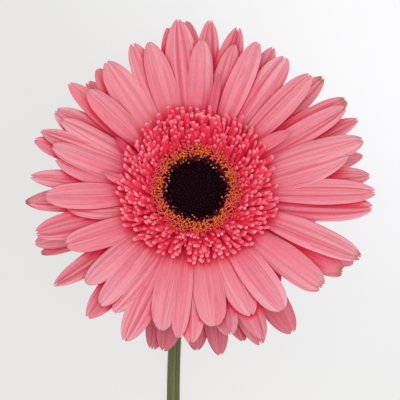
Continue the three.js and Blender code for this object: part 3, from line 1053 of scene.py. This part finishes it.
def short_floret_material():
    """Pale at the very tip, partly its own colour and partly a painted highlight, and deepest
    near its foot, partly its own colour and partly painted shade. Painted shade also darkens it
    where it is hollow or shut in.
    """
    look = Shader("short_floret", 0.55, 0.04)
    depth, tone = look.attribute("depth"), look.attribute("tone")
    # Pale tip, partly a painted highlight, deepening towards the foot, partly painted shade.
    body = look.ramp(
        look.span(depth, 0.0, 8.0), (0.0, (0.95, 0.35, 0.41)), (0.007, (0.89, 0.17, 0.24)),
        (0.03, (0.85, 0.085, 0.145)), (0.25, (0.82, 0.045, 0.1)), (1.0, (0.74, 0.001, 0.03)),
    )
    body = look.over(
        body,
        ((0.84, 0.22, 0.29), tone, 0.2, 1.0, 0.3),
        ((0.78, 0.03, 0.075), tone, 0.3, -0.6, 0.85),
        # Painted shade in the hollow of a floret.
        ((0.74, 0.02, 0.07), look.attribute("inside"), look.span(depth, 0.25, 1.4, 0.0, 0.8)),
        # Painted shade where other pieces shut a floret in.
        ((0.76, 0.004, 0.048), look.attribute("painted_shade"), 0.12, 0.66, 0.88),
    )
    return look.grained(body, 1800.0, (0.8, 0.03, 0.09), 0.4, 0.7, 0.25, relief=0.00008)


def open_floret_material():
    """Orange florets and pink ones, dark down in their throats."""
    look = Shader("open_disc_floret", 0.5, 0.2)
    orange = look.down_from_tip(3.0, 0.3, (0.92, 0.22, 0.05), (0.78, 0.1, 0.02), (0.18, 0.0, 0.004))
    pink = look.down_from_tip(3.0, 0.3, (0.9, 0.11, 0.13), (0.85, 0.03, 0.06), (0.3, 0.0, 0.004))
    body = look.mix(look.span(look.attribute("tone"), 0.35, 0.62), orange, pink)
    return look.grained(body, 1500.0, (0.4, 0.01, 0.01), 0.45, 0.7, 0.3)


def anther_material():
    look = Shader("anther", 0.6, 0.2)
    body = look.down_from_tip(1.8, 0.4, (0.85, 0.34, 0.08), (0.6, 0.1, 0.02), (0.1, 0.0, 0.002))
    return look.grained(body, 2200.0, (0.75, 0.2, 0.05), 0.4, 0.65, 0.5)


def bud_material():
    look = Shader("closed_bud", 0.75, 0.04)
    body = look.down_from_tip(
        1.6, 0.4, (0.013, 0.0018, 0.0045), (0.011, 0.0014, 0.0038), (0.007, 0.0008, 0.0024)
    )
    body = look.over(body, ((0.03, 0.003, 0.009), look.attribute("tone"), 0.6, 1.0, 0.5))
    return look.grained(body, 1500.0, (0.03, 0.003, 0.008), 0.5, 0.8, 0.3, relief=0.00005)


def opening_bud_material():
    """Dark red, those of a low tone with a pale tip."""
    look = Shader("opening_bud", 0.6, 0.1)
    pale = look.down_from_tip(1.4, 0.35, (0.62, 0.24, 0.2), (0.3, 0.05, 0.05), (0.01, 0.001, 0.003))
    dark = look.down_from_tip(1.4, 0.3, (0.17, 0.014, 0.03), (0.06, 0.005, 0.013), (0.01, 0.001, 0.003))
    body = look.mix(look.span(look.attribute("tone"), 0.36, 0.5), pale, dark)
    return look.grained(body, 1800.0, (0.05, 0.004, 0.01), 0.45, 0.7, 0.3)


def green_material(name, deep, light, brown, stretch):
    """Green with lengthwise streaks. stretch is the attribute that runs across them, and how
    often they change that way and lengthwise."""
    look = Shader(name, 0.6, 0.35, sheen=0.15, sheen_roughness=0.4)
    across, across_scale, along_scale = stretch
    where = look.node("CombineXYZ", [
        look.times(look.attribute(across), across_scale),
        look.times(look.attribute("along"), along_scale),
        look.attribute("tone"),
    ])
    streaks = look.noise(where.outputs[0], 1.0, 4.0)
    place = look.place()
    patches = look.noise(place, 55.0)
    body = look.over(deep, (light, streaks, 0.35, 0.65, 1.0), (brown, patches, 0.45, 0.75, 0.5))
    look.bump(look.math("ADD", streaks, look.noise(place, 2500.0, 2.0)), 0.00008)
    return look.color(body)


def pith_material():
    """Dark in the hollow, pale in the ring and green at its rim."""
    look = Shader("stem_pith", 0.5, 0.5)
    body = look.ramp(
        look.attribute("along"), (0.0, (0.1, 0.12, 0.04)), (0.32, (0.3, 0.34, 0.14)),
        (0.6, (0.62, 0.66, 0.4)), (0.9, (0.26, 0.33, 0.1)),
    )
    return look.grained(body, 1600.0, (0.5, 0.52, 0.28), 0.4, 0.7, 0.4, relief=0.0001)


def hair_material():
    look = Shader("down", 0.5, 0.4)
    return look.grained((0.4, 0.44, 0.24), 300.0, (0.62, 0.64, 0.44), 0.4, 0.6)


FLOOR_GLOW = 0.695
FLOOR_WARM = (1, 0.995, 0.985)
FLOOR_COOL = (0.988, 0.984, 1)


def floor_material():
    """Paper that glows pale, with a painted pool of light: brighter and cooler towards its right
    and its far side.
    """
    look = Shader("floor", 0.95, 0.0)
    place = look.place()
    x, y, _ = look.node("SeparateXYZ", [place]).outputs
    # The painted pool of light grows towards the right and the far side.
    right = look.span(x, -0.066, 0.074)
    cool = look.times(right, look.span(y, -0.08, 0.02))
    glow = look.math("ADD", FLOOR_GLOW, look.times(right, look.span(y, -0.045, 0.06, 0.065, 0.17)))
    glow = look.math("ADD", glow, look.times(cool, 0.008))
    look.put(look.mix(cool, FLOOR_WARM, FLOOR_COOL), look.surface.inputs["Emission Color"])
    look.put(glow, look.surface.inputs["Emission Strength"])
    soft = look.noise(place, 3.0, 2.0)
    return look.color(look.mix(soft, (0.095, 0.095, 0.095), (0.105, 0.105, 0.105)))


# ---- The object ----

whorls = {name: petals(whorl) for name, whorl in WHORLS.items()}
stray_petals(whorls["inner"])
short = trans_florets()
mark_painted_shade([(shape, PETAL_SHADE_REACH) for shape in whorls.values()] + [(short, SHORT_SHADE_REACH)])

petal_skin = petal_material()
for name, shape in whorls.items():
    piece(shape, f"petals_{name}", petal_skin, "petals", f"ray_florets_{name}")
piece(short, "short_florets", short_floret_material(), "short_florets", "trans_florets")
opened, anthers = open_florets()
piece(opened, "open_florets", open_floret_material(), "open_disc_florets", "disc_florets")
piece(anthers, "anthers", anther_material(), "open_disc_florets")
piece(closed_buds(), "closed_buds", bud_material(), "closed_disc_buds", "disc_buds")
piece(opening_buds(), "opening_buds", opening_bud_material(), "closed_disc_buds")

stem_green = green_material(
    "stem_green", (0.07, 0.08, 0.025), (0.145, 0.162, 0.058), (0.13, 0.095, 0.042), ("round", 26.0, 9.0)
)
bract_green = green_material(
    "bract_green", (0.07, 0.1, 0.025), (0.17, 0.22, 0.07), (0.14, 0.1, 0.05), ("across", 6.0, 3.0)
)
down = hair_material()
piece(cup(), "cup", bract_green, "bracts", "involucre")
piece(bracts(), "bracts", bract_green, "bracts")
piece(stem(), "stem_skin", stem_green, "stem", "stem")
piece(pith(), "stem_pith", pith_material(), "stem")
piece(stem_hairs(), "stem_down", down, "stem")
piece(cup_hairs(), "cup_down", down, "bracts")


# ---- Floor, light and camera ----

FLOOR_SIZE = 6  # in metres, as are each lamp's place from the head and its size
LAMPS = {"key": ((-0.18, 0.3, 1.36), 1.1, 10.0), "fill": ((0.9, -0.1, 0.9), 1.2, 3.0)}
DAYLIGHT = 0.62


def floor():
    bpy.ops.mesh.primitive_plane_add(size=FLOOR_SIZE)
    plane = bpy.context.object
    plane.name = "floor"
    plane.data.materials.append(floor_material())
    plane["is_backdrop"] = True


def area_light(name, offset, size, power):
    """A square lamp that faces the head."""
    lamp = bpy.data.lights.new(name, "AREA")
    lamp.shape = "SQUARE"
    lamp.size = size
    lamp.energy = power
    made = bpy.data.objects.new(name, lamp)
    offset = Vector(offset)
    made.location = Vector(head_origin) * MM + offset
    made.rotation_euler = (-offset).to_track_quat("-Z", "Y").to_euler()
    bpy.context.scene.collection.objects.link(made)


def daylight(strength):
    world = bpy.data.worlds.new("soft_daylight")
    world.use_nodes = True
    background = world.node_tree.nodes["Background"]
    background.inputs["Color"].default_value = (1, 1, 1, 1)
    background.inputs["Strength"].default_value = strength
    bpy.context.scene.world = world


VIEW_TILT = math.radians(8)  # of the line of sight from straight down, towards the bloom's far side
VIEW_DISTANCE = 900
VIEW_WIDTH = 133.3  # what the picture spans at the disc
DISC_HEIGHT = 9  # of the disc above the cup's rim
DISC_OFF_CENTRE = (-1.33, 3.83)  # of the disc from the picture's middle


def camera():
    to_camera = Vector((0, math.sin(VIEW_TILT), math.cos(VIEW_TILT)))
    right = Vector((1, 0, 0))
    up = to_camera.cross(right)
    disc = Vector(head_origin) + axis * DISC_HEIGHT
    aim = disc - right * DISC_OFF_CENTRE[0] - up * DISC_OFF_CENTRE[1]
    lens = bpy.data.cameras.new("camera")
    lens.sensor_width = 36
    lens.lens = lens.sensor_width * VIEW_DISTANCE / VIEW_WIDTH
    lens.clip_end = 20
    made = bpy.data.objects.new("camera", lens)
    turn = Matrix((right, up, to_camera)).transposed().to_4x4()
    made.matrix_world = Matrix.Translation((aim + to_camera * VIEW_DISTANCE) * MM) @ turn
    bpy.context.scene.collection.objects.link(made)
    bpy.context.scene.camera = made


floor()
for name, lamp in LAMPS.items():
    area_light(name, *lamp)
daylight(DAYLIGHT)
camera()
bpy.context.scene.view_settings.view_transform = "Standard"

boxes = {"cad": cad_box, "visual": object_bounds()}
{name: [list(corner) for corner in box] for name, box in boxes.items()}
